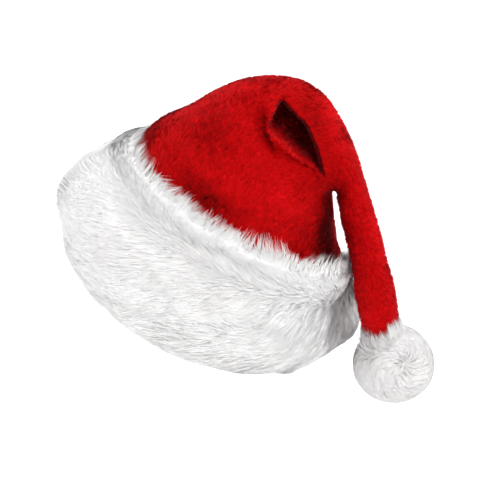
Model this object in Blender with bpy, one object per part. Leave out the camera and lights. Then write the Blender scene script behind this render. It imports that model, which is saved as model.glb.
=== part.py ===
# Plush santa hat, shaped as it is worn: a cloth crown whose long tip folds over
# and hangs beside the cuff, a deep fur cuff round the opening and a fur pompom.
# Metres, +Z up. The origin is the centre of the head opening.
import math

import bmesh
import bpy
import numpy as np

# Head opening and cuff
TILT = math.radians(28)  # lean of the opening's axis towards +X
HEAD_RADIUS = 0.0945  # inside of the cloth, a 59 cm head
WALL = 0.0025  # plush cloth with its pile
BAND_HEIGHT = 0.100  # cuff, from the opening's plane to its top edge
CLOTH_HEIGHTS = (0.0, 0.045, 0.084)  # the cloth's rows that stand straight inside the cuff
GAP = 0.0004  # air left between two pieces

# Mesh resolution
CROWN_COLUMNS = 40
CROWN_ROWS = ((0, 2, 2), (2, 5, 6), (5, 7.6, 18), (7.6, 14, 10))  # from, to, rows
BAND_COLUMNS = 96

AXIS = np.array([math.sin(TILT), 0.0, math.cos(TILT)])
SIDE = np.array([math.cos(TILT), 0.0, -math.sin(TILT)])
DEPTH = np.array([0.0, 1.0, 0.0])

# Sections of the crown above the cuff, in millimetres. Each is an oval that
# spans from its inner end, on the hollow side of the fold, to its outer end.
# y is its middle, front and back are its half depths towards -Y and +Y.
SECTION_COLUMNS = ("inner_x", "inner_z", "outer_x", "outer_z", "y", "front", "back")
SECTIONS = (
    (120.0, 56.0, -23.0, 148.0, 0, 84, 84),
    (118.0, 76.0, -1.5, 160.0, 0, 73, 73),
    (116.0, 96.0, 29.0, 177.5, 0, 60, 60),
    (115.2, 101.0, 58.5, 188.0, -2, 52, 50),
    (115.8, 103.5, 86.0, 188.8, -6, 44, 39),
    (117.0, 105.5, 106.5, 179.5, -12, 34, 31),
    (118.6, 106.5, 121.5, 160.0, -18, 26, 24),
    (120.0, 105.5, 133.0, 135.5, -25, 19, 18),
    (120.4, 99.0, 143.0, 106.5, -31, 15, 15),
    (129.8, 57.3, 154.8, 65.0, -36, 13.9, 14.5),
    (136.0, 23.2, 164.0, 30.0, -36, 14.8, 14.8),
    (142.5, -6.3, 168.7, 0.2, -36, 13.5, 13.5),
)

# Dents that the bend presses into the cloth. Rows follow each other at even
# steps of turn between first and last (degrees round the sections, negative in
# front). A row gives the sections where the dent starts, on the crown's side,
# and ends, on the tip's side, and its depth in millimetres.
DENT_COLUMNS = ("start", "end", "depth")
DENT_GROWTH = 0.24  # wider on the inside by this much of a section
DENTS = (
    {
        "name": "front pocket",
        "first": -36,
        "last": -126,
        "edge": 0.75,
        "rows": (
            (5.95, 6.80, 0),
            (5.60, 7.05, 17),
            (5.30, 7.26, 26),
            (5.42, 7.40, 28),
            (5.72, 7.45, 24),
            (6.25, 7.35, 0),
        ),
    },
    {
        "name": "side crease",
        "first": -34,
        "last": -86,
        "edge": 0.30,
        "rows": ((5.45, 6.05, 0), (5.30, 5.95, 4), (5.15, 5.75, 4), (5.2, 5.7, 0)),
    },
    {
        "name": "back pocket",
        "first": 46,
        "last": 130,
        "edge": 0.90,
        "rows": ((5.6, 7.0, 0), (5.2, 7.3, 7), (5.3, 7.4, 8), (5.8, 7.4, 0)),
    },
)

# Outline of the cuff from its top edge to the rim: height above the opening's
# plane and thickness over the cloth, in millimetres.
CUFF_COLUMNS = ("height", "thickness")
CUFF = (
    (96, 0.8),
    (100, 5),
    (97, 11),
    (88, 13.5),
    (78, 17),
    (62, 23.5),
    (44, 28),
    (29, 26),
    (16, 20.5),
    (7, 12.5),
    (2.5, 5.5),
    (2.5, 0.8),
)

# Unevenness of the cuff. Turns are degrees round the opening's axis: 0 is on
# the side of the hanging tip, -90 is in front.
TUCK = {"lift": 0.009, "thinner": 0.12}  # on the tip's side
PRESSED = {"turn": -15, "width": 18, "share": 0.70}  # flattened by the hanging tip
RIM = {"turn": -48, "width": 28, "lift": 0.008}  # rim drawn up, cloth and fur
SAG = {"turn": 20, "width": 17, "depth": 0.020}  # top edge drawn down behind the tip
FLARE = {"turn": 16, "width": 17, "depth": 0.010}  # fur pushed out below that
SHOULDER = {"turn": 172, "width": 44, "depth": 0.0095}  # fuller on the far side
LOCKS = {"around": 36, "rows": 5, "height": 0.0045, "slant": 1.6}
POMPOM = {"centre": (0.1670, -0.036, -0.0382), "radius": 0.0315, "flat": 0.93, "locks": 9, "height": 0.0028}


def along(table, t):
    # Smooth curve through the rows of a table (Catmull-Rom), t counts rows
    rows = np.asarray(table, float)
    t = np.clip(np.asarray(t, float), 0, len(rows) - 1)
    i = np.minimum(t.astype(int), len(rows) - 2)
    f = (t - i)[..., None]
    before = rows[np.maximum(i - 1, 0)]
    after = rows[np.minimum(i + 2, len(rows) - 1)]
    start, end = rows[i], rows[i + 1]
    slope_a = (end - before) / 2
    slope_b = (after - start) / 2
    return (
        start * (2 * f**3 - 3 * f**2 + 1)
        + slope_a * (f**3 - 2 * f**2 + f)
        + end * (3 * f**2 - 2 * f**3)
        + slope_b * (f**3 - f**2)
    )


def ramp(value, low, high):
    # 0 below low, 1 above high, smooth between
    f = np.clip((value - low) / (high - low), 0, 1)
    return f * f * (3 - 2 * f)


def near(turn, place):
    # 1 at a named place round the cuff, falling off to its sides
    away = np.degrees(np.arctan2(np.sin(turn), np.cos(turn))) - place["turn"]
    return np.exp(-((away / place["width"]) ** 2))


def crown_sections():
    # The sections inside the cuff come from the named sizes
    radius = (HEAD_RADIUS + WALL) * 1000
    rows = []
    for height in CLOTH_HEIGHTS:
        middle = AXIS * height * 1000
        inner = middle + SIDE * radius
        outer = middle - SIDE * radius
        rows.append((inner[0], inner[2], outer[0], outer[2], 0, radius, radius))
    return tuple(rows) + SECTIONS


def dent_depth(t, turn, inset):
    # Depth of all dents at section t and a turn in degrees. The cloth's inner
    # face has wider dents than its outer face.
    total = 0
    wider = inset / WALL * DENT_GROWTH
    for dent in DENTS:
        middle = (dent["first"] + dent["last"]) / 2
        place = 0.5 + (turn - middle) / (dent["last"] - dent["first"]) / (1 + 0.4 * wider)
        count = len(dent["rows"]) - 1
        start, end, depth = np.moveaxis(along(dent["rows"], place * count), -1, 0)
        depth = np.where((place > 0) & (place < 1), depth, 0) / 1000
        start = start - wider
        end = end + wider
        edge = dent["edge"]
        total = total + depth * ramp(t, start, start + edge) * (1 - ramp(t, end - edge, end))
    return total


def crown_surface(t, turn, inset=0.0):
    # A face of the cloth: t along the sections, turn round each of them
    row = along(crown_sections(), t) / 1000
    inner_x, inner_z, outer_x, outer_z, y, front, back = np.moveaxis(row, -1, 0)
    across_x, across_z = (outer_x - inner_x) / 2, (outer_z - inner_z) / 2
    share = (1 - inset / np.hypot(across_x, across_z)) * np.cos(turn)
    x = (inner_x + outer_x) / 2 + across_x * share
    z = (inner_z + outer_z) / 2 + across_z * share
    side = np.sin(turn)
    flat = np.abs(side) * (np.where(side < 0, front, back) - inset)
    pressed = dent_depth(t, np.degrees(np.arctan2(side, np.cos(turn))), inset)
    points = np.stack([x, y + np.sign(side) * (flat - pressed), z], -1)
    raised = RIM["lift"] * near(math.pi - turn, RIM) * (1 - ramp(t, 0, 1))
    return points + AXIS * raised[..., None]


def tip_ball():
    # Middle and radius of the tip's round end, and the way it points
    inner_x, inner_z, outer_x, outer_z, y, front, back = SECTIONS[-1]
    middle = np.array([(inner_x + outer_x) / 2, y, (inner_z + outer_z) / 2]) / 1000
    down = np.array([outer_z - inner_z, 0.0, inner_x - outer_x])
    return middle, front / 1000, down / np.linalg.norm(down)


def mesh_object(name, vertices, faces, color, roughness):
    mesh = bpy.data.meshes.new(name)
    mesh.from_pydata([tuple(v) for v in vertices], [], faces)
    work = bmesh.new()
    work.from_mesh(mesh)
    bmesh.ops.triangulate(work, faces=work.faces)
    bmesh.ops.recalc_face_normals(work, faces=work.faces)
    work.to_mesh(mesh)
    work.free()
    material = bpy.data.materials.new(name)
    material.use_nodes = True
    shader = material.node_tree.nodes["Principled BSDF"]
    shader.inputs["Base Color"].default_value = color
    shader.inputs["Roughness"].default_value = roughness
    mesh.materials.append(material)
    mesh.shade_smooth()
    piece = bpy.data.objects.new(name, mesh)
    bpy.context.scene.collection.objects.link(piece)
    return piece


def ring_faces(first, second, count):
    # Quads between two rings of vertices given by their first numbers
    faces = []
    for j in range(count):
        k = (j + 1) % count
        faces.append((first + j, first + k, second + k, second + j))
    return faces


def build_crown():
    # Cloth shell: outer face from rim to tip, round the tip, back inside
    t = np.concatenate([np.linspace(a, b, n, endpoint=False) for a, b, n in CROWN_ROWS])
    t = np.append(t, CROWN_ROWS[-1][1])
    turn = np.linspace(0, 2 * math.pi, CROWN_COLUMNS, endpoint=False)
    turn = turn - 0.45 * np.cos(turn)  # closer columns at the front pocket
    outer = crown_surface(t[:, None], turn[None, :])
    inner = crown_surface(t[:, None], turn[None, :], WALL)
    vertices = []
    faces = []
    starts = []
    for ring in outer:
        starts.append(len(vertices))
        vertices.extend(ring)
    middle, tip_radius, down = tip_ball()
    caps = []
    for layer, ring in ((0.0, outer[-1]), (WALL, inner[-1])):
        rings = []
        for turn_in in (30, 60):
            size = math.cos(math.radians(turn_in))
            rise = math.sin(math.radians(turn_in)) * (tip_radius - layer)
            rings.append(middle + (ring - middle) * size + down * rise)
        caps.append((rings, middle + down * (tip_radius - layer)))
    for ring in caps[0][0]:
        starts.append(len(vertices))
        vertices.extend(ring)
    for a, b in zip(starts, starts[1:]):
        faces.extend(ring_faces(a, b, CROWN_COLUMNS))
    pole = len(vertices)
    vertices.append(caps[0][1])
    for j in range(CROWN_COLUMNS):
        faces.append((starts[-1] + j, starts[-1] + (j + 1) % CROWN_COLUMNS, pole))
    inside = []
    for ring in list(inner) + caps[1][0]:
        inside.append(len(vertices))
        vertices.extend(ring)
    for a, b in zip(inside, inside[1:]):
        faces.extend(ring_faces(b, a, CROWN_COLUMNS))
    pole = len(vertices)
    vertices.append(caps[1][1])
    for j in range(CROWN_COLUMNS):
        faces.append((inside[-1] + (j + 1) % CROWN_COLUMNS, inside[-1] + j, pole))
    faces.extend(ring_faces(inside[0], starts[0], CROWN_COLUMNS))
    return mesh_object("crown", vertices, faces, (0.62, 0.01, 0.02, 1), 0.9)


def lock_height(turn, v):
    # Staggered pointed locks: each swells from its root and ends in a tip
    row = v * LOCKS["rows"]
    number = np.floor(row)
    p = row - number
    q = turn / (2 * math.pi) * LOCKS["around"] + number * 0.5 + p * LOCKS["slant"] * 0.5
    q = q - np.floor(q)
    half = 0.5 * (1.15 - 0.75 * p)
    ridge = np.clip(1 - np.abs(q - 0.5) / half, 0, 1)
    return LOCKS["height"] * ridge * (0.25 + 0.75 * p)


def uneven(height, turn):
    # Heights on the cuff with its rim drawn up and its top edge drawn down
    raised = RIM["lift"] * near(turn, RIM) * (1 - ramp(height, 0.0, 0.050))
    return height + raised - SAG["depth"] * near(turn, SAG) * ramp(height, 0.055, 0.098)


def band_surface(turn, v):
    # Outer face of the fur: v runs over the outline from top edge to rim
    height, thick = np.moveaxis(along(CUFF, v * (len(CUFF) - 1)) / 1000, -1, 0)
    back = ramp(np.cos(turn), -0.8, 0.6)
    height = height + TUCK["lift"] * back * (1 - ramp(height, 0, 0.070)) * ramp(thick, 0.003, 0.018)
    thick = thick * (1 - TUCK["thinner"] * back * ramp(thick, 0.012, 0.030))
    thick = thick * (1 - PRESSED["share"] * near(turn, PRESSED) * ramp(height, 0.030, 0.085))
    bulge = ramp(height, 0.015, 0.040) * (1 - ramp(height, 0.055, 0.085))
    thick = thick + FLARE["depth"] * near(turn, FLARE) * bulge
    full = ramp(height, 0.012, 0.038) * (1 - ramp(height, 0.064, 0.096))
    thick = thick + SHOULDER["depth"] * near(turn, SHOULDER) * full
    height = uneven(height, turn)
    body = ramp(v, 0.05, 0.16) * (1 - ramp(v, 0.90, 0.98))
    thick = thick + body * (lock_height(turn, v) - LOCKS["height"] * 0.4)
    return height, thick


def build_band():
    # Ring of fur: outer outline with locks, then straight back up the cloth
    turn = np.linspace(0, 2 * math.pi, BAND_COLUMNS, endpoint=False)
    rows = np.linspace(0, 1, 20)
    radius = HEAD_RADIUS + WALL + GAP
    vertices = []
    faces = []
    starts = []
    rings = []
    for v in rows:
        height, thick = band_surface(turn, np.full_like(turn, v))
        rings.append((height, np.maximum(thick, 0.0008)))
    for height in np.linspace(0.001, BAND_HEIGHT * 0.95, 3):
        rings.append((uneven(np.full_like(turn, height), turn), np.zeros_like(turn)))
    for height, thick in rings:
        out = radius + thick
        across = np.cos(turn)[:, None] * SIDE + np.sin(turn)[:, None] * DEPTH
        ring = across * out[:, None] + AXIS * np.asarray(height)[:, None]
        starts.append(len(vertices))
        vertices.extend(ring)
    for a, b in zip(starts, starts[1:] + starts[:1]):
        faces.extend(ring_faces(a, b, BAND_COLUMNS))
    return mesh_object("fur_band", vertices, faces, (0.90, 0.89, 0.87, 1), 0.95)


def build_pompom():
    # Fur ball with swirled locks and a hollow where the tip is sewn in
    centre = np.array(POMPOM["centre"])
    tip, tip_radius, _ = tip_ball()
    keep = tip_radius + GAP + 0.0003
    reach = tip - centre
    work = bmesh.new()
    bmesh.ops.create_icosphere(work, subdivisions=4, radius=1.0)
    for vertex in work.verts:
        d = np.array(vertex.co)
        d = d / np.linalg.norm(d)
        swirl = math.atan2(d[2], d[0]) + 1.4 * d[1]
        wave = math.cos(swirl * POMPOM["locks"]) * math.cos(d[1] * 9 + 1.5 * swirl)
        radius = POMPOM["radius"] * (1 - (1 - POMPOM["flat"]) * d[2] ** 2)
        radius = radius + POMPOM["height"] * abs(wave)
        half = float(d @ reach)
        rest = half * half - float(reach @ reach) + keep * keep
        if half > 0 and rest > 0:
            radius = min(radius, half - math.sqrt(rest))
        vertex.co = centre + d * radius
    mesh = bpy.data.meshes.new("pompom")
    work.to_mesh(mesh)
    work.free()
    vertices = [tuple(v.co) for v in mesh.vertices]
    faces = [tuple(f.vertices) for f in mesh.polygons]
    bpy.data.meshes.remove(mesh)
    return mesh_object("pompom", vertices, faces, (0.90, 0.89, 0.87, 1), 0.95)


for leftover in list(bpy.data.objects):
    bpy.data.objects.remove(leftover, do_unlink=True)
build_crown()
build_band()
build_pompom()
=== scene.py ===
import math

import bmesh
import bpy
import numpy as np
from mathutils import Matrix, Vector, kdtree, noise


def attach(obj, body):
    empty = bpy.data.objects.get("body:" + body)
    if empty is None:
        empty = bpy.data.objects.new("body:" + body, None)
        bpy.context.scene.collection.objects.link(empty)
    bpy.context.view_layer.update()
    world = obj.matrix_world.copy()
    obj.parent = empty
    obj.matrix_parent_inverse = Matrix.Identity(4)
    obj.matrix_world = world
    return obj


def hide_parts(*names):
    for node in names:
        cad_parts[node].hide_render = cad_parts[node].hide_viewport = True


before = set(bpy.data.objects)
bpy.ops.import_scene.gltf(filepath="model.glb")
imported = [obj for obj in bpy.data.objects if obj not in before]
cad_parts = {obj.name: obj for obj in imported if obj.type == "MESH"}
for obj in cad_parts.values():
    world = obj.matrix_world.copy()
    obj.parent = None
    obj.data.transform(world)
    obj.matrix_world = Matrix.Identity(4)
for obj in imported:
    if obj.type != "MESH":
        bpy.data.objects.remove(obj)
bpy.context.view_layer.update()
print("santa hat: CAD loaded")

# The head opening leans towards +X; these repeat the sizes of the CAD
tilt = math.radians(28)
hatAxis = np.array([math.sin(tilt), 0.0, math.cos(tilt)])
hatSide = np.array([math.cos(tilt), 0.0, -math.sin(tilt)])
depthWay = np.array([0.0, 1.0, 0.0])
clothRadius = 0.097
clothWall = 0.0025
bandHeight = 0.100


# Shader expressions

class Wire:
    # one socket of a material, on which Python sums add Math nodes
    def __init__(self, finish, socket):
        self.finish = finish
        self.socket = socket

    def sum(self, operation, first, second):
        return self.finish.node("ShaderNodeMath", {"operation": operation}, {0: first, 1: second})

    def __add__(self, other):
        return self.sum("ADD", self, other)

    def __mul__(self, other):
        return self.sum("MULTIPLY", self, other)

    def __rsub__(self, other):
        return self.sum("SUBTRACT", other, self)


class Finish:
    # a material and the one way its nodes are made
    def __init__(self, name):
        self.material = bpy.data.materials.new(name)
        self.material.use_nodes = True
        self.tree = self.material.node_tree
        self.shader = self.tree.nodes["Principled BSDF"]

    def plug(self, target, value):
        if isinstance(value, Wire):
            self.tree.links.new(value.socket, target)
        else:
            target.default_value = value

    def node(self, kind, settings=None, sockets=None, output=0):
        made = self.tree.nodes.new(kind)
        for key, value in (settings or {}).items():
            if key == "stops":
                ramp = made.color_ramp
                while len(ramp.elements) < len(value):
                    ramp.elements.new(0.5)
                for stop, (position, colour) in zip(ramp.elements, value):
                    stop.position = position
                    stop.color = colour
            else:
                setattr(made, key, value)
        for key, value in (sockets or {}).items():
            self.plug(made.inputs[key], value)
        return Wire(self, made.outputs[output])

    def mix(self, factor, first, second):
        # colours mixed by a factor
        return self.node("ShaderNodeMix", {"data_type": "RGBA"}, {0: factor, 6: first, 7: second}, 2)

    def clouds(self, scale, detail):
        # noise in object coordinates
        where = self.node("ShaderNodeTexCoord", {}, {}, 3)
        sockets = {"Scale": scale, "Detail": detail, "Roughness": 0.55, "Vector": where}
        return self.node("ShaderNodeTexNoise", {}, sockets)

    def strand(self):
        # a strand's own map: which strand across, root to tip upwards
        chart = self.node("ShaderNodeUVMap", {"uv_map": "OFBake"})
        across = self.node("ShaderNodeSeparateXYZ", {}, {0: chart})
        upward = Wire(self, across.socket.node.outputs[1])
        return across, upward

    def facing(self):
        # the way that a strand's surface faces, kept on its mesh
        return self.node("ShaderNodeAttribute", {"attribute_name": "facing"}, {}, 1)

    def set(self, **values):
        for key, value in values.items():
            self.plug(self.shader.inputs[key.replace("_", " ")], value)


def steps(value, low, high):
    # 0 below low, 1 above high, smooth between
    f = np.clip((value - low) / (high - low), 0, 1)
    return f * f * (3 - 2 * f)


def along(table, t):
    # smooth curve through the rows of a table, t counts rows
    rows = np.asarray(table, float)
    t = np.clip(np.asarray(t, float), 0, len(rows) - 1)
    i = np.minimum(t.astype(int), len(rows) - 2)
    f = (t - i)[..., None]
    before = rows[np.maximum(i - 1, 0)]
    after = rows[np.minimum(i + 2, len(rows) - 1)]
    start, end = rows[i], rows[i + 1]
    return (
        start * (2 * f**3 - 3 * f**2 + 1)
        + (end - before) / 2 * (f**3 - 2 * f**2 + f)
        + end * (3 * f**2 - 2 * f**3)
        + (after - start) / 2 * (f**3 - f**2)
    )


def cloudsAt(points, scale, seed=0.0):
    # smooth noise from -1 to 1 at many points
    shift = Vector((seed, seed * 1.7, -seed))
    flat = np.asarray(points).reshape(-1, 3) * scale
    values = [noise.noise(Vector(p) + shift) for p in flat]
    return np.array(values).reshape(np.asarray(points).shape[:-1])


def layered(points, layers, total=0.0):
    # layers of smooth noise, each with its amount, scale and seed
    for amount, scale, seed in layers:
        total = total + amount * cloudsAt(points, scale, seed)
    return total


def between(value, low, full, still, high):
    # rises from low to full and falls from still to high
    return steps(value, low, full) * (1 - steps(value, still, high))


def unit(vectors):
    size = np.linalg.norm(vectors, axis=-1, keepdims=True)
    return vectors / np.maximum(size, 1e-12)


def place(work, name, finish, node):
    # a finished bmesh becomes a piece that stands for a CAD node
    mesh = bpy.data.meshes.new(name)
    work.to_mesh(mesh)
    work.free()
    mesh.shade_smooth()
    return settle(mesh, name, finish, node)


def settle(mesh, name, finish, node):
    mesh.materials.append(finish.material)
    piece = bpy.data.objects.new(name, mesh)
    bpy.context.scene.collection.objects.link(piece)
    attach(piece, "root")
    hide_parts(node)
    print("santa hat:", name, len(mesh.polygons), "faces")
    return piece


# Crown

crown = {
    "columns": 100,
    "rows": ((0, 2, 6), (2, 5, 26), (5, 8, 58), (8, 14, 40)),  # from section, to, rows
    "tipRows": 8,
    "sections": (  # inner x, inner z, outer x, outer z, y, front, back, in mm
        (119.5, 56.0, -23.0, 148.0, 0, 84, 84),
        (117.3, 76.0, -1.5, 160.0, 0, 73, 73),
        (115.4, 96.0, 29.0, 177.5, 0, 60, 60),
        (114.8, 101.0, 58.5, 188.0, -2, 52, 50),
        (115.6, 103.5, 86.0, 188.8, -6, 44, 39),
        (117.0, 105.5, 106.5, 179.5, -12, 34, 31),
        (118.8, 106.5, 121.5, 160.0, -18, 26, 24),
        (120.4, 105.5, 133.0, 135.5, -25, 19, 18),
        (121.2, 99.0, 143.0, 106.5, -31, 15, 15),
        (130.4, 57.3, 154.8, 65.0, -36, 13.5, 14.5),
        (136.0, 23.2, 164.0, 30.0, -36, 14.8, 14.8),
        (142.5, -6.3, 168.7, 0.2, -36, 13.5, 13.5),
    ),
    "dents": (  # first and last turn, edge widths, then start, end and depth at even turns
        (-30, -122, 0.14, 0.32, ((6.44, 6.60, 0), (6.08, 6.74, 24), (5.64, 7.10, 35), (5.78, 7.24, 36),
                                 (6.02, 7.34, 34), (6.54, 7.28, 26), (7.00, 7.16, 0))),
        (-44, -116, 0.30, 0.08, ((5.75, 6.15, 0), (5.40, 5.75, -2.0), (5.45, 5.82, -3.0),
                                 (5.66, 6.04, -3.0), (6.12, 6.50, -2.0), (6.6, 6.95, 0))),
        (-30, -88, 0.26, 0.26, ((5.55, 6.10, 0), (5.32, 5.92, 6), (5.02, 5.60, 6), (5.1, 5.5, 0))),
        (46, 130, 0.90, 0.90, ((5.6, 7.0, 0), (5.2, 7.3, 7), (5.3, 7.4, 8), (5.8, 7.4, 0))),
    ),
    "dentGrowth": 0.24,
    "ripple": 0.0011,
    "swells": ((1.0, 26, 3.0), (0.5, 60, 8.0)),  # amount, scale and seed of the ripple's noise
    "free": (2.2, 3.5),  # sections over which the ripple sets in above the cuff
    "closer": 0.35,  # how much closer the mesh's columns lie in front
}


def crownSections():
    # the sections inside the cuff are round, the others come from the table
    radius = clothRadius * 1000
    rows = []
    for height in (0, bandHeight * 450, bandHeight * 840):
        inner = hatAxis * height + hatSide * radius
        outer = hatAxis * height - hatSide * radius
        rows.append((inner[0], inner[2], outer[0], outer[2], 0, radius, radius))
    return tuple(rows) + crown["sections"]


def dentDepth(t, turn, inset):
    # how deep the folds press the cloth in, a little wider on its inner face
    total = 0
    wider = inset / clothWall * crown["dentGrowth"]
    for first, last, rise, fall, rows in crown["dents"]:
        spot = 0.5 + (turn - (first + last) / 2) / (last - first) / (1 + 0.4 * wider)
        start, end, depth = np.moveaxis(along(rows, spot * (len(rows) - 1)), -1, 0)
        depth = np.where((spot > 0) & (spot < 1), depth, 0) / 1000
        start, end = start - wider, end + wider
        total = total + depth * between(t, start, start + rise, end - fall, end)
    return total


def crownFace(t, turn, inset=0.0):
    # a face of the cloth: t along the sections, turn round each of them
    row = along(crownSections(), t) / 1000
    innerX, innerZ, outerX, outerZ, y, front, back = np.moveaxis(row, -1, 0)
    acrossX, acrossZ = (outerX - innerX) / 2, (outerZ - innerZ) / 2
    share = (1 - inset / np.hypot(acrossX, acrossZ)) * np.cos(turn)
    x = (innerX + outerX) / 2 + acrossX * share
    z = (innerZ + outerZ) / 2 + acrossZ * share
    side = np.sin(turn)
    flat = np.abs(side) * (np.where(side < 0, front, back) - inset)
    pressed = dentDepth(t, np.degrees(np.arctan2(side, np.cos(turn))), inset)
    return np.stack([x, y + np.sign(side) * (flat - pressed), z], -1)


def tipBall():
    # middle, radius and direction of the tip's round end
    innerX, innerZ, outerX, outerZ, y, front, back = crown["sections"][-1]
    middle = np.array([(innerX + outerX) / 2, y, (innerZ + outerZ) / 2]) / 1000
    down = np.array([outerZ - innerZ, 0.0, innerX - outerX])
    return middle, front / 1000, unit(down)


def crownPoints(t, turn, inset=0.0):
    # the face with its round tip: t past the last section goes over the end
    last = len(crownSections()) - 1
    points = crownFace(np.minimum(t, last), turn, inset)
    middle, radius, down = tipBall()
    bend = np.clip(t - last, 0, 1) * math.pi / 2
    size, rise = np.cos(bend)[..., None], np.sin(bend)[..., None]
    over = middle + (points - middle) * size + down * rise * (radius - np.asarray(inset)[..., None])
    return np.where((t > last)[..., None], over, points)


def normalsOf(surface, a, b, step=1e-3):
    # outward normals and the two ways along a surface, by small differences
    wayA = unit(surface(a + step, b) - surface(a - step, b))
    wayB = unit(surface(a, b + step) - surface(a, b - step))
    return unit(np.cross(wayA, wayB)), wayA, wayB


def stretch(surface, a, b, which, step=1e-3):
    # metres of surface for each unit of its first or second parameter
    one, two = (step, 0.0) if which == 0 else (0.0, step)
    way = surface(a + one, b + two) - surface(a - one, b - two)
    return np.maximum(np.linalg.norm(way, axis=-1) / (2 * step), 0.02)


def rippled(t, turn, inset=0.0):
    # soft unevenness of hand-stuffed plush, gone where the cuff holds it
    points = crownPoints(t, turn, inset)
    swell = layered(points, crown["swells"])
    free = steps(t, *crown["free"]) * crown["ripple"] * swell
    outward = unit(points - crownMiddle(t))
    raised = band["rim"][2] * near(math.pi - turn, band["rim"]) * (1 - steps(t, 0, 1))
    return points + outward * free[..., None] + hatAxis * raised[..., None]


def crownMiddle(t):
    # middle line of the crown
    row = along(crownSections(), np.minimum(t, len(crownSections()) - 1)) / 1000
    x = (row[..., 0] + row[..., 2]) / 2
    z = (row[..., 1] + row[..., 3]) / 2
    return np.stack([x, row[..., 4], z], -1)


def gridOn(work, across, down, surface):
    # a flat grid, closed round and laid on a surface
    made = bmesh.ops.create_grid(work, x_segments=across, y_segments=down, size=0.5)["verts"]
    spots = np.array([v.co for v in made]) + 0.5
    points = surface(spots[:, 1], spots[:, 0] * 2 * math.pi)
    for v, p in zip(made, points):
        v.co = p
    bmesh.ops.remove_doubles(work, verts=work.verts, dist=2e-5)
    bmesh.ops.recalc_face_normals(work, faces=work.faces)


def rowPlace(share):
    # share of the mesh's rows to a section number, closer where it folds
    marks, places = [0.0], [0.0]
    for start, end, count in crown["rows"] + ((14, 15, crown["tipRows"]),):
        marks.append(marks[-1] + count)
        places.append(float(end))
    return np.interp(share * marks[-1], marks, places)


crownRows = sum(r[2] for r in crown["rows"]) + crown["tipRows"]


def crownWall(share, turn):
    # outside from the tip down to the rim, then inside back up to the tip
    inset = np.where(share > 0.5, clothWall, 0.0)
    reach = (np.abs(2 * share - 1) * (2 * crownRows + 1) - 1) / (2 * crownRows)
    return rippled(rowPlace(reach), turn - crown["closer"] * np.cos(turn), inset)


def buildCrown(finish):
    work = bmesh.new()
    gridOn(work, crown["columns"], crownRows * 2 + 1, crownWall)
    piece = place(work, "crown_cloth", finish, "crown")
    return piece


# Strands

def strandMesh(name, sides, middles, tips, normals, tone):
    # thin strands as one mesh, from arrays: the two sides of each root, the
    # same at mid-length if it bends, then its tip; they lie on their surface
    pairs = [sides] if middles is None else [sides, middles]
    rings = [corner for pair in pairs for corner in pair]
    count, each = len(tips), len(rings) + 1
    points = np.stack(rings + [tips], 1).reshape(-1, 3)
    faces = [(0, 1, 3), (0, 3, 2), (2, 3, 4)] if middles is not None else [(0, 1, 2)]
    index = np.array(faces)[None] + (np.arange(count) * each)[:, None, None]
    index = index.reshape(-1)
    mesh = bpy.data.meshes.new(name)
    mesh.vertices.add(len(points))
    mesh.vertices.foreach_set("co", points.astype(np.float32).ravel())
    mesh.loops.add(index.size)
    mesh.loops.foreach_set("vertex_index", index.astype(np.int32))
    mesh.polygons.add(index.size // 3)
    mesh.polygons.foreach_set("loop_start", np.arange(0, index.size, 3, dtype=np.int32))
    mesh.update(calc_edges=True)
    mesh.shade_smooth()
    facing = np.repeat(normals, each, 0)
    mesh.normals_split_custom_set_from_vertices(facing.tolist())
    kept = mesh.attributes.new("facing", "FLOAT_VECTOR", "POINT")
    kept.data.foreach_set("vector", facing.astype(np.float32).ravel())
    upward = np.array([0.02, 0.02, 0.5, 0.5, 0.98] if middles is not None else [0.02, 0.02, 0.98])
    across = np.array([-1, 1, -1, 1, 0] if middles is not None else [-1, 1, 0]) * 0.004
    u = np.clip(tone, 0.01, 0.99)[:, None] + across[None]
    v = np.broadcast_to(upward[None], u.shape)
    chart = np.stack([u, v], -1).reshape(-1, 2)[index]
    layer = mesh.uv_layers.new(name="OFBake")
    layer.data.foreach_set("uv", chart.astype(np.float32).ravel())
    return mesh


def sideways(way, normal, width, roll, rng):
    # half a strand's width, turned about the strand by a random roll
    flat = unit(np.cross(way, normal))
    turned = rng.normal(0, roll, len(way))[:, None]
    return (flat * np.cos(turned) + normal * np.sin(turned)) * (width * 0.5)[:, None]


def bentStrands(name, root, middle, tip, normal, faced, width, tone, rng):
    # strands that bend at mid-length
    side = sideways(tip - root, normal, width, 0.2, rng)
    faced = unit(faced + rng.normal(0, 0.03, normal.shape))
    belly = (middle - side * 0.85, middle + side * 0.85)
    return strandMesh(name, (root - side, root + side), belly, tip, faced, tone)


def scatter(surface, count, lows, highs, rng):
    # places spread evenly over a surface, more tries where it is wide
    tries = count * 6
    a = rng.uniform(lows[0], highs[0], tries)
    b = rng.uniform(lows[1], highs[1], tries)
    step = 1e-3
    da = surface(a + step, b) - surface(a - step, b)
    db = surface(a, b + step) - surface(a, b - step)
    area = np.linalg.norm(np.cross(da, db), axis=1)
    chosen = rng.uniform(0, np.quantile(area, 0.995), tries) < area
    a, b = a[chosen], b[chosen]
    if len(a) < count:
        more = scatter(surface, count - len(a), lows, highs, rng)
        return np.concatenate([a, more[0]]), np.concatenate([b, more[1]])
    return a[:count], b[:count]


def patches(rows, a, turn):
    # soft spots on a surface: rows of place, turn, their widths and an amount
    total = 0.0
    for spot, middle, wide, turnWide, amount in rows:
        off = np.degrees(turn) - middle
        off = (off + 180) % 360 - 180
        total = total + amount * np.exp(-(((a - spot) / wide) ** 2) - (off / turnWide) ** 2)
    return total


def clumps(root, leaders, rng):
    # for each strand the number of the nearest of a few leading strands
    chosen = rng.choice(len(root), leaders, replace=False)
    tree = kdtree.KDTree(leaders)
    for spot, i in enumerate(chosen):
        tree.insert(root[i], spot)
    tree.balance()
    return chosen[[tree.find(r)[1] for r in root]]


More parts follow.
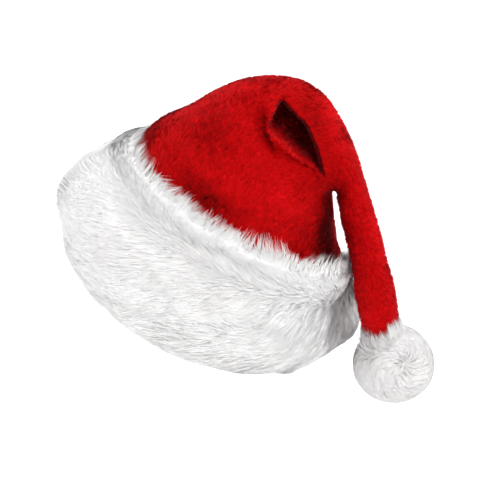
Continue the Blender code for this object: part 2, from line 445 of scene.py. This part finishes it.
def gathered(root, tip, locks, rng):
    # tips lean together in locks: rows of strands to a lock and how much they lean
    lean = 0.0
    for each, strength in locks:
        lean = lean + (tip[clumps(root, len(root) // each, rng)] - tip) * strength
    return lean


# Plush pile on the crown

pile = {
    "count": 186000,
    "length": 0.0034,
    "width": 0.0010,
    "seed": 11,
    "sections": (2.0, 14.9),
    "swirl": ((1.0, 45, 5.0),),  # amount, scale and seed of each noise, here and in the mottle
    "stray": 0.6,
    "lift": (0.35, 0.9),
    "tone": 0.59,
    "mottle": ((0.07, 34, 1.0), (0.09, 120, 2.0)),
    "tuft": 12,  # blades to a tuft
    "lean": 0.45,
    "turned": (0.10, 0.12, (7.6, 9.0)),  # how far tufts face away, how much more on the tail
    "paintedShadeAndHighlight": (  # section, turn, their widths and change of tone: painted shade where the plush lies in shadow, darkest on the crown's side beside the hanging tip, and painted highlight where it faces the light
        (3.0, -68, 0.40, 20, -0.42),
        (4.2, -42, 0.80, 20, -0.20),
        (5.6, -52, 0.22, 16, -0.16),
        (3.4, -150, 1.5, 14, -0.75),
        (4.6, -95, 0.6, 22, 0.12),
        (7.4, -60, 0.8, 40, -0.24),
        (3.5, -105, 0.6, 24, -0.10),
        (11.5, -10, 2.6, 60, 0.26),
    ),
    "pocket": (0.58, 0.036),  # painted shade down in the fold: how much darker, and the depth at which it is fully darkened
}


def buildPile(finish):
    rng = np.random.default_rng(pile["seed"])
    count = pile["count"]
    first, last = pile["sections"]
    t, turn = scatter(crownPoints, count, (first, -math.pi), (last, math.pi), rng)
    root = rippled(t, turn)
    normal, down, around = normalsOf(crownPoints, t, turn)
    swirl = layered(root, pile["swirl"]) + rng.normal(0, pile["stray"], count)
    way = down * np.cos(swirl)[:, None] + around * np.sin(swirl)[:, None]
    lift = rng.uniform(*pile["lift"], count)[:, None]
    size = pile["length"] * rng.uniform(0.7, 1.25, count)
    # random mottle, plus painted shade and painted highlight from the patches
    mottle = layered(root, pile["mottle"], pile["tone"]) + patches(pile["paintedShadeAndHighlight"], t, turn)
    pressed = dentDepth(t, np.degrees(np.arctan2(np.sin(turn), np.cos(turn))), 0.0)
    foldShade, deepest = pile["pocket"]
    # painted shade: the pile is darker the deeper the fold presses the front in
    mottle = mottle - foldShade * np.clip(pressed / deepest, 0, 1) * (np.sin(turn) < 0)
    # small tufts, whose blades lean and face together, more so on the tail
    tuft = clumps(root, count // pile["tuft"], rng)
    least, more, tail = pile["turned"]
    grain = least + more * steps(t, *tail)
    faced = normal + rng.normal(0, 1, (count, 3))[tuft] * grain[:, None]
    mottle = mottle + rng.normal(0, 0.06, count)[tuft]
    tone = np.clip(mottle + rng.normal(0, 0.07, count), 0.02, 0.98)
    tip = root + unit(way + normal * lift) * size[:, None]
    tip = tip + (tip[tuft] - tip) * pile["lean"]
    width = pile["width"] * rng.uniform(0.8, 1.2, count)
    root = root - normal * 0.0004
    side = sideways(tip - root, normal, width, 0.3, rng)
    faced = unit(faced + rng.normal(0, 0.1, normal.shape))
    mesh = strandMesh("crown_pile", (root - side, root + side), None, tip, faced, tone)
    return settle(mesh, "crown_pile", finish, "crown")


# Fur cuff

band = {
    "columns": 192,
    "rows": 48,
    "core": (  # height and thickness over the cloth in mm, under the strands
        (96, 0.8), (99, 4), (97, 8.5), (91, 11), (84, 11), (76, 13), (62, 19),
        (46, 23.5), (30, 22), (17, 16), (8, 9), (4, 4), (4, 0.8),
    ),
    "gap": 0.0004,
    "lift": 0.009,
    "thinner": 0.12,
    "pressed": (-15, 18, 0.70),  # turn, width and share flattened by the hanging tip
    "rim": (-48, 28, 0.008),  # turn, width and height of the rim drawn up
    "sag": (20, 17, 0.020),  # turn, width and depth of the top edge's dip behind the tip
    "swellings": (  # turn, width, depth and the heights between which each rises and falls
        (14, 18, 0.014, 0.015, 0.040, 0.055, 0.085),  # fur pushed out below the dip
        (172, 44, 0.0090, 0.012, 0.038, 0.066, 0.100),  # the fuller side
        (-2, 13, 0.0060, 0.018, 0.038, 0.044, 0.070),  # fur spreading beside the tip
    ),
    "outer": 0.88,  # share of the mesh's rows on the outer face
    "uneven": (0.0022, 28, 4.0),  # amount, scale and seed of the core's noise
    "drift": ((0.45, 13, 6.0), (0.35, 42, 7.0)),  # the same for the way that the fur lies
    "sweep": (134, 32),  # degrees from upwards, and how much they change round the head
    "turning": (0.14, 0.46),  # where the fur turns from upwards to the sweep
    "brim": (0.06, 0.16),  # where the fur stops standing up from the top edge
    "shorter": 0.45,
    "locks": ((12, 0.25), (110, 0.30)),  # strands to a lock and how much they lean together
    "tone": 0.62,
    "mottle": ((0.16, 60, 2.0),),
    "paintedShade": (  # row, turn, their widths and change of tone: painted shade behind the hanging tip, in the valley under the top strip and in a dimple
        (0.46, 14, 0.26, 20, -0.50),
        (0.34, -97, 0.12, 16, -0.10),
        (0.54, -132, 0.08, 7, -0.12),
    ),
    "under": {"count": 52000, "length": 0.015, "lift": 0.0037, "width": 0.00062, "seed": 21,
              "rows": (0.02, 0.97), "stray": 0.07},
    "over": {"count": 63000, "length": 0.024, "lift": 0.0049, "width": 0.00046, "seed": 31,
             "rows": (0.02, 0.97), "stray": 0.07},
    "wisps": {"count": 2600, "length": 0.034, "lift": 0.0070, "width": 0.00030, "seed": 51,
              "rows": (0.04, 0.14), "stray": 0.35},
}


def near(turn, row):
    # 1 at a row's turn round the cuff, falling off over its width
    away = np.degrees(np.arctan2(np.sin(turn), np.cos(turn))) - row[0]
    return np.exp(-((away / row[1]) ** 2))


def uneven(height, turn):
    # heights on the cuff with its rim drawn up and its top edge drawn down
    rim, sag = band["rim"], band["sag"]
    raised = rim[2] * near(turn, rim) * (1 - steps(height, 0.0, 0.050))
    return height + raised - sag[2] * near(turn, sag) * steps(height, 0.055, 0.098)


def radial(turn):
    # outward from the hat's axis
    return np.cos(turn)[..., None] * hatSide + np.sin(turn)[..., None] * depthWay


def bandFace(v, turn):
    # outer face of the core: v from the top edge over the bulge to the rim
    table = band["core"]
    height, thick = np.moveaxis(along(table, v * (len(table) - 1)) / 1000, -1, 0)
    back = steps(np.cos(turn), -0.8, 0.6)
    lift = band["lift"] * back * (1 - steps(height, 0, 0.070)) * steps(thick, 0.003, 0.015)
    height = height + lift
    thick = thick * (1 - band["thinner"] * back * steps(thick, 0.010, 0.022))
    pressed = band["pressed"]
    thick = thick * (1 - pressed[2] * near(turn, pressed) * steps(height, 0.030, 0.085))
    for row in band["swellings"]:
        thick = thick + row[2] * near(turn, row) * between(height, *row[3:])
    out = clothRadius + band["gap"] + np.maximum(thick, 0.0006)
    return radial(turn) * out[..., None] + hatAxis * uneven(height, turn)[..., None]


def bandCore(share, turn):
    # the last rows of the grid run back up along the cloth, and the very last meets the first
    outer, closing = band["outer"], share > 0.995
    outside = np.where(closing, 0, np.clip(share / outer, 0, 1))
    points = bandFace(outside, turn)
    swell = layered(points, (band["uneven"],)) * np.sin(outside * math.pi)
    points = points + radial(turn) * swell[..., None]
    up = np.clip((share - outer) / (1 - outer), 0, 1)
    inside = radial(turn) * (clothRadius + band["gap"])
    inside = inside + hatAxis * uneven(0.002 + up * 0.092, turn)[..., None]
    return np.where(((share > outer + 0.005) & ~closing)[..., None], inside, points)


def buildBandCore(finish):
    work = bmesh.new()
    gridOn(work, band["columns"], band["rows"], bandCore)
    piece = place(work, "fur_band_core", finish, "fur_band")
    return piece


def buildBandFur(name, style, finish, part):
    rng = np.random.default_rng(style["seed"] + part)
    count = style["count"]
    first, last = style["rows"]
    v, turn = scatter(bandFace, count, (first, -math.pi), (last, math.pi), rng)
    root = bandFace(v, turn)
    normal, down, around = normalsOf(bandFace, v, turn)
    # the top strip's fur points up over the cloth, the body's sweeps round the
    # head and down, and between them it turns from the one to the other
    drift = layered(root, band["drift"])
    sweep = np.radians(band["sweep"][0] + band["sweep"][1] * np.cos(turn)) + drift
    swept = steps(v, *band["turning"])
    angle = sweep * swept + drift * 0.9 + rng.normal(0, style["stray"], count)
    brim = (1 - steps(v, *band["brim"]))[:, None]
    upward = unit(-down * (1 - 0.75 * brim) + hatAxis * brim)
    way = upward * np.cos(angle)[:, None] - around * np.sin(angle)[:, None]
    short = 1 - band["shorter"] * (1 - swept)
    size = style["length"] * short * rng.uniform(0.7, 1.2, count)
    height = style["lift"] * short * rng.uniform(0.7, 1.2, count)
    height = height * (1 + 0.35 * cloudsAt(root, 38, 9.0))
    tip = root + way * size[:, None]
    middle = (root + tip) / 2
    onV = (way * down).sum(1) * size / stretch(bandFace, v, turn, 0)
    onTurn = (way * around).sum(1) * size / stretch(bandFace, v, turn, 1)
    tip = tip * brim + bandFace(np.clip(v + onV, 0, 1), turn + onTurn) * (1 - brim)
    middle = middle * brim + bandFace(np.clip(v + onV / 2, 0, 1), turn + onTurn / 2) * (1 - brim)
    tip = tip + normal * height[:, None]
    lean = gathered(root, tip, band["locks"], rng)
    tip = tip + lean
    bow = rng.normal(0, 0.0006, count) + cloudsAt(root, 30, 12.0) * 0.0022
    middle = middle + normal * (height * 0.8)[:, None] + lean * 0.3
    middle = middle + unit(np.cross(way, normal)) * bow[:, None]
    # random mottle, darkened by the painted shade patches
    tone = layered(root, band["mottle"], band["tone"]) + patches(band["paintedShade"], v, turn)
    tone = np.clip(tone + rng.normal(0, 0.06, count), 0.02, 0.98)
    width = style["width"] * rng.uniform(0.75, 1.25, count)
    root = root - normal * 0.001
    faced = normal * (1 - 0.8 * brim) + radial(turn) * 0.8 * brim
    mesh = bentStrands(name, root, middle, tip, normal, faced, width, tone, rng)
    return settle(mesh, name, finish, "fur_band")


# Pompom

pompom = {
    "centre": (0.1670, -0.036, -0.0382),
    "core": 0.0235,
    "count": 62000,
    "length": 0.018,
    "lift": 0.0085,
    "width": 0.00042,
    "flatter": 0.08,
    "clear": 0.0006,  # between the core's hollow and the tip in it
    "locks": ((12, 0.25), (160, 0.2)),
    "collar": (0.70, 0.80),  # where the fur stands up round the tip, as cosines
    "reach": 0.017,  # how much further it reaches there
    "hug": (0.001, 0.004),  # how far from the tip it lies
    "swirl": (0.26, -0.85, 0.45),  # the middle of the swirl, seen from the centre
    "seed": 41,
}


def buildPompom(coreFinish, furFinish):
    centre = np.array(pompom["centre"])
    middle, tipRadius, down = tipBall()
    work = bmesh.new()
    bmesh.ops.create_icosphere(work, subdivisions=4, radius=pompom["core"])
    for vertex in work.verts:
        away = np.array(vertex.co) / pompom["core"]
        radius = pompom["core"] * (1 + 0.05 * noise.noise(vertex.co * 120))
        reach = middle - centre
        half = float(away @ reach)
        rest = half * half - float(reach @ reach) + (tipRadius + pompom["clear"]) ** 2
        if half > 0 and rest > 0:
            radius = min(radius, half - math.sqrt(rest))
        vertex.co = centre + away * radius
    core = place(work, "pompom_core", coreFinish, "pompom")
    rng = np.random.default_rng(pompom["seed"])
    count = pompom["count"]
    away = unit(rng.normal(0, 1, (count, 3)))
    toTip = unit(middle - centre)
    away = away[away @ toTip < pompom["collar"][1]]
    count = len(away)
    root = centre + away * pompom["core"]
    pole = unit(np.array(pompom["swirl"]))
    circling = unit(np.cross(pole, away))
    inward = unit(pole - away * (away @ pole)[:, None])
    spread = 0.45 + cloudsAt(away, 2.2, 3.0) * 0.7 + rng.normal(0, 0.12, count)
    way = circling * np.cos(spread)[:, None] - inward * np.sin(spread)[:, None]
    # round the hanging tip the fur stands up over its end
    collar = steps(away @ toTip, *pompom["collar"])
    way = unit(way * (1 - collar)[:, None] - down * collar[:, None])
    size = pompom["length"] * rng.uniform(0.7, 1.15, count) * (1 + 0.15 * collar)
    height = pompom["lift"] * rng.uniform(0.75, 1.15, count)
    tip = root + way * size[:, None] + away * height[:, None]
    tip = tip + gathered(root, tip, pompom["locks"], rng)
    # tips wrap round the ball
    far = tip - centre
    reach = np.linalg.norm(far, axis=1)
    limit = pompom["core"] + height + pompom["reach"] * collar
    tip = centre + far * (np.minimum(reach, limit) / reach)[:, None]
    # and hug the hanging tip where they stand up over it
    alongTip = ((tip - middle) @ down)[:, None] * down
    fromTip = tip - middle - alongTip
    wide = np.linalg.norm(fromTip, axis=1)
    hugged = np.minimum(wide, tipRadius + rng.uniform(*pompom["hug"], count))
    drawn = wide + (hugged - wide) * collar
    tip = middle + alongTip + fromTip * (drawn / wide)[:, None]
    bow = (0.0025 + height * 0.3) * (1 - 0.6 * collar)
    belly = root * 0.5 + tip * 0.5 + away * bow[:, None]
    tone = np.clip(0.48 + rng.normal(0, 0.06, count), 0.02, 0.98)
    width = pompom["width"] * rng.uniform(0.75, 1.25, count)
    root = root - away * 0.001
    for points in (root, belly, tip):
        # the ball is a little flatter below
        points[:, 2] -= np.minimum(points[:, 2] - centre[2], 0) * pompom["flatter"]
    mesh = bentStrands("pompom_fur", root, belly, tip, away, away, width, tone, rng)
    settle(mesh, "pompom_fur", furFinish, "pompom")


# Finishes

colours = {
    "redDark": (0.34, 0.000, 0.001, 1),
    "red": (0.50, 0.0005, 0.001, 1),
    "redTip": (0.74, 0.003, 0.006, 1),
    "redSheen": (1.0, 0.16, 0.20, 1),
    "furRoot": (0.93, 0.92, 0.91, 1),
    "furTip": (0.97, 0.965, 0.96, 1),
    # the lowest, near black stops are painted shade for the fold and the shadowed patches; the upper
    # stops are the plush's own reds
    "redToneAndShadeStops": (
        (0.0, (0.05, 0.000, 0.000, 1)), (0.3, (0.27, 0.000, 0.000, 1)),
        (0.6, (0.51, 0.0005, 0.001, 1)), (1.0, (0.74, 0.003, 0.006, 1)),
    ),
    # the lowest, pinkish grey stops are painted shade behind the hanging tip and in hollows; the upper
    # stops are the fur's own whites
    "furToneAndShadeStops": (
        (0.0, (0.44, 0.33, 0.32, 1)), (0.25, (0.84, 0.79, 0.78, 1)),
        (0.5, (0.95, 0.94, 0.935, 1)), (1.0, (0.98, 0.977, 0.975, 1)),
    ),
}


def redCloth():
    f = Finish("red plush backing")
    mottle = f.clouds(38.0, 4.0)
    grain = f.clouds(420.0, 2.0)
    stops = ((0.30, colours["redDark"]), (0.60, colours["red"]))
    tone = f.node("ShaderNodeValToRGB", {"stops": stops}, {0: mottle * 0.6 + grain * 0.4})
    bump = f.node("ShaderNodeBump", {}, {"Strength": 0.5, "Distance": 0.0006, "Height": grain})
    f.set(Base_Color=tone, Roughness=grain * 0.15 + 0.75, Normal=bump)
    f.set(Sheen_Weight=0.10, Sheen_Roughness=0.4, Sheen_Tint=colours["redSheen"])
    f.set(Specular_IOR_Level=0.05)
    return f


def redPile():
    f = Finish("red plush pile")
    which, upward = f.strand()
    # the ramp turns each strand's tone, with its painted shade and highlight, into colour
    base = f.node("ShaderNodeValToRGB", {"stops": colours["redToneAndShadeStops"]}, {0: which})
    tone = f.mix(upward * which * 0.7, base, colours["redTip"])
    f.set(Base_Color=tone, Roughness=0.8 - which * 0.1, Normal=f.facing())
    f.set(Sheen_Weight=0.14, Sheen_Roughness=0.4, Sheen_Tint=colours["redSheen"])
    f.set(Specular_IOR_Level=0.05)
    return f


def furBase(name):
    f = Finish(name)
    mottle = f.clouds(70.0, 3.0)
    grain = f.clouds(500.0, 2.0)
    tone = f.mix(mottle, colours["furRoot"], colours["furTip"])
    bump = f.node("ShaderNodeBump", {}, {"Strength": 0.5, "Distance": 0.001, "Height": grain})
    f.set(Base_Color=tone, Roughness=grain * 0.1 + 0.8, Normal=bump, Specular_IOR_Level=0.2)
    return f


def furStrands(name):
    f = Finish(name)
    which, upward = f.strand()
    # the ramp turns each strand's tone, with its painted shade, into colour
    base = f.node("ShaderNodeValToRGB", {"stops": colours["furToneAndShadeStops"]}, {0: which})
    tone = f.mix(upward * which * 0.6, base, colours["furTip"])
    f.set(Base_Color=tone, Roughness=0.75 - which * 0.1, Specular_IOR_Level=0.15)
    f.set(Normal=f.facing(), Sheen_Weight=0.15, Sheen_Roughness=0.5)
    return f


clothFinish, pileFinish = redCloth(), redPile()
baseFinish, strandFinish = furBase("cuff fur ground"), furStrands("cuff fur")
ballFinish, ballFurFinish = furBase("pompom ground"), furStrands("pompom fur")

buildBandCore(baseFinish)
buildCrown(clothFinish)
buildPile(pileFinish)
buildBandFur("fur_band_under", band["under"], strandFinish, 0)
buildBandFur("fur_band_over_1", band["over"], strandFinish, 0)
buildBandFur("fur_band_over_2", band["over"], strandFinish, 1)
buildBandFur("fur_band_wisps", band["wisps"], strandFinish, 0)
buildPompom(ballFinish, ballFurFinish)

# Stage

studio = {
    "target": (0.0522, 0.0, 0.0460),
    "rise": 23.5,
    "distance": 1.3,
    "lens": 117,
    "floor": -0.9,
    "ambient": 1.03,
    "lights": (  # name, place, size, power and the spot that it points at
        ("key", (0.7, -1.3, 1.0), 0.8, 8, (0.05, 0, 0.05)),
        ("left", (-1.4, 0.0, 0.25), 1.0, 2.2, (0.05, 0, 0.05)),
        ("right", (1.4, 0.2, 0.6), 1.0, 6.5, (0.05, 0, 0.05)),
        ("top", (0.0, 0.3, 1.5), 1.0, 7.5, (0.05, 0, 0.05)),
        ("low", (-0.4, -0.5, -0.8), 0.7, 4, (0.05, 0, 0.05)),
        ("behind", (-0.8, 1.2, 1.2), 1.0, 3, (0.05, 0, 0.05)),
        ("backdrop", (0.0, 2.7, -0.25), 3.4, 34, (0.0, 2.7, -0.9)),
    ),
}


def aim(thing, target):
    way = Vector(target) - thing.location
    thing.rotation_euler = way.to_track_quat("-Z", "Y").to_euler()


def softLight(name, at, size, power, target):
    data = bpy.data.lights.new(name, "AREA")
    data.shape = "DISK"
    data.size = size
    data.energy = power
    lamp = bpy.data.objects.new(name, data)
    lamp.location = at
    bpy.context.scene.collection.objects.link(lamp)
    aim(lamp, target)


def buildStage():
    lensData = bpy.data.cameras.new("camera")
    lensData.lens = studio["lens"]
    lensData.sensor_width = 36
    camera = bpy.data.objects.new("camera", lensData)
    rise = math.radians(studio["rise"])
    target = Vector(studio["target"])
    camera.location = target + Vector((0, -math.cos(rise), math.sin(rise))) * studio["distance"]
    bpy.context.scene.collection.objects.link(camera)
    aim(camera, target)
    bpy.context.scene.camera = camera
    work = bmesh.new()
    bmesh.ops.create_grid(work, x_segments=1, y_segments=1, size=30)
    bmesh.ops.translate(work, verts=work.verts, vec=(0, 0, studio["floor"]))
    mesh = bpy.data.meshes.new("floor")
    work.to_mesh(mesh)
    work.free()
    f = Finish("pale floor")
    f.set(Base_Color=(0.85, 0.85, 0.85, 1), Roughness=0.9)
    mesh.materials.append(f.material)
    floor = bpy.data.objects.new("floor", mesh)
    bpy.context.scene.collection.objects.link(floor)
    for row in studio["lights"]:
        softLight(*row)
    world = bpy.data.worlds.new("studio")
    world.use_nodes = True
    background = world.node_tree.nodes["Background"]
    background.inputs["Color"].default_value = (1, 1, 1, 1)
    background.inputs["Strength"].default_value = studio["ambient"]
    bpy.context.scene.world = world
    bpy.context.scene.view_settings.view_transform = "Standard"


buildStage()
print("santa hat: stage set")
